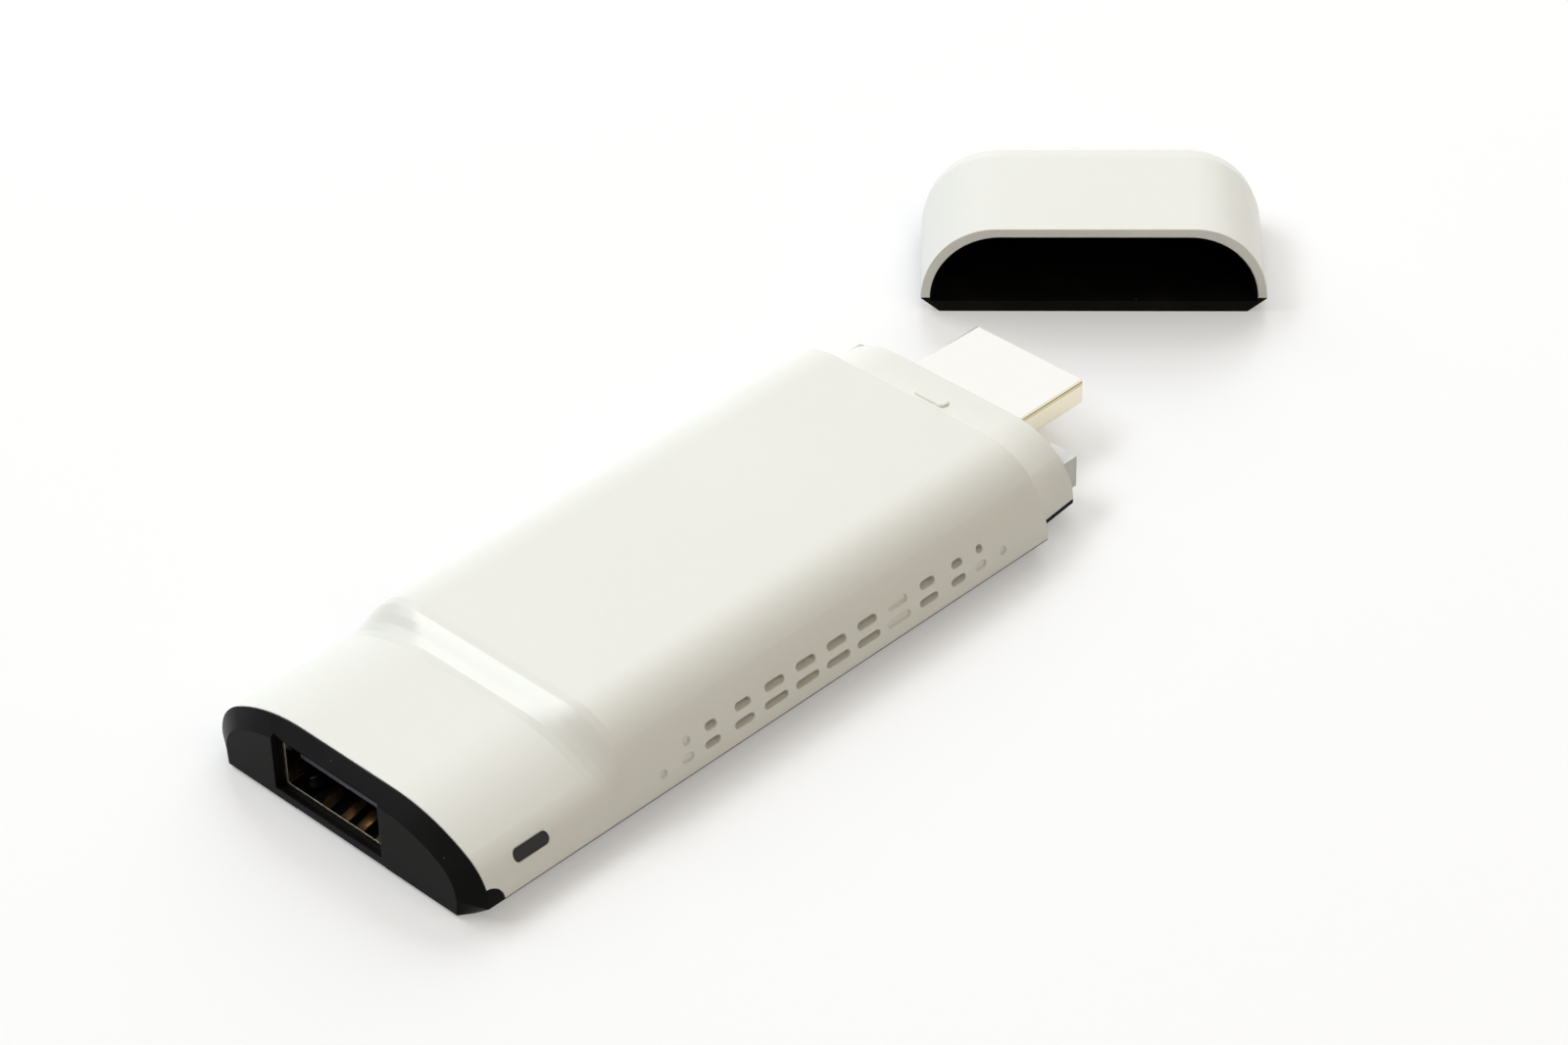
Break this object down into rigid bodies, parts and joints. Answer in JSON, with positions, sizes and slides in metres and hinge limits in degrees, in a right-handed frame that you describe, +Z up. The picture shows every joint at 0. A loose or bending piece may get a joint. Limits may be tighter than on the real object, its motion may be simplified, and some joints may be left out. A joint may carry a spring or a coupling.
{
  "type": "streaming stick",
  "caption": "Flat stick with a video plug at one end, a USB socket at the other, side vents, a reset button and a loose plug cap lying beside it.",
  "frame": {"origin": "middle of the stick's flat underside, on the surface it lies on", "axes": "+X along the stick towards the video plug, +Z up, vents and reset button on the -Y side"},
  "size_m": [0.1301, 0.0471, 0.0098],
  "materials": {
    "white_cover": "glossy white",
    "black_tray": "satin black",
    "nose": "pale grey",
    "cap_white": "glossy white",
    "cap_black": "satin black",
    "button": "charcoal",
    "plug_plating": "pale gold plating",
    "socket_plating": "gold plating",
    "steel": "plain sheet",
    "contact_gold": "gold plating",
    "tongue_plastic": "dark blue-black",
    "black_plastic": "moulded",
    "board": "green solder mask",
    "chip": "moulded epoxy",
    "pad": "soft silicone",
    "aluminium": "plain sheet",
    "ferrite": "ferrite",
    "ceramic": "fired",
    "radio_board": "dark solder mask"
  },
  "bodies": {
    "stick": {"top_cover": "white_cover", "bottom_tray": "black_tray", "nose_frame": "nose", "switch_body": "black_plastic", "main_board": "board", "board_screws": "steel", "usb_shell": "socket_plating", "usb_tongue": "tongue_plastic", "usb_contacts": "contact_gold", "plug_shell": "plug_plating", "plug_insulator": "black_plastic", "plug_contacts": "contact_gold", "power_jack_shell": "steel", "power_jack_tongue": "black_plastic", "power_jack_contacts": "contact_gold", "card_socket_cover": "steel", "card_socket_frame": "black_plastic", "card_contacts": "contact_gold", "soc": "chip", "thermal_pad": "pad", "heat_spreader": "aluminium", "ram_chips": "chip", "flash_chip": "chip", "power_chip": "chip", "inductors": "ferrite", "crystals": "steel", "capacitors": "ceramic", "wifi_module": "radio_board", "wifi_shield": "steel", "antenna": "ceramic"},
    "cap": {"cap_shell": "cap_white", "cap_tray": "cap_black"},
    "button": {"reset_button": "button", "switch_plunger": "black_plastic"}
  },
  "joints": [
    {"name": "cap_turn", "type": "hinge", "parent": "stick", "child": "cap", "pos_m": [0.0454, 0.0465, 0], "axis": [0, 0, -1], "range_deg": [0, 42.3]},
    {"name": "button_press", "type": "slide", "parent": "stick", "child": "button", "axis": [0, 1, 0], "range_m": [0, 0.0003], "stiffness_N_per_m": 500, "springref_m": -0.0003}
  ]
}
